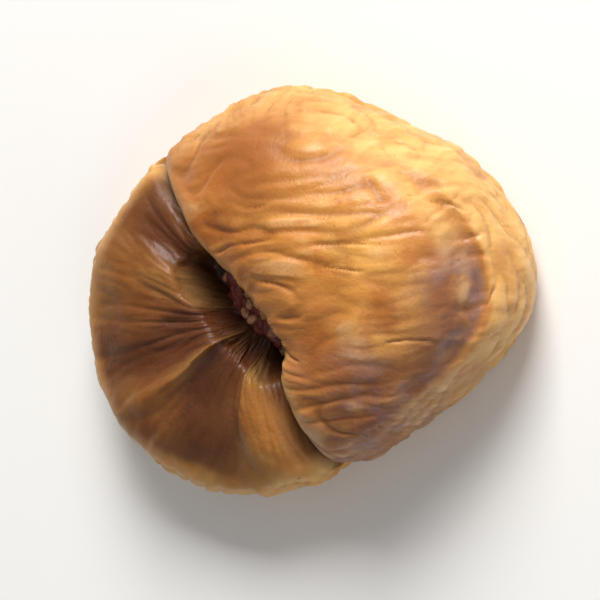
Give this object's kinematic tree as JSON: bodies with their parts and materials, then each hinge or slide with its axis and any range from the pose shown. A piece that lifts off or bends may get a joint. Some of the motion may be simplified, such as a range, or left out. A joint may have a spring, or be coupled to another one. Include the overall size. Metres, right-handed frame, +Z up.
{
  "type": "dried fig",
  "caption": "Sun-dried fig pressed flat between stem and eye, with a tall smooth lobe and a lower pleated one; food prop that lies on its stem side.",
  "frame": {"origin": "on the resting surface, under the middle of the fig's outline", "axes": "+Z up through the pressed faces, eye side up; +X along the longest way across; +Y across the shorter way"},
  "size_m": [0.053, 0.046, 0.019],
  "materials": {
    "fig_skin": "satin, finely wrinkled dried fruit skin, straw to amber"
  },
  "bodies": {
    "root": {"dried_fig": "fig_skin"}
  },
  "joints": []
}
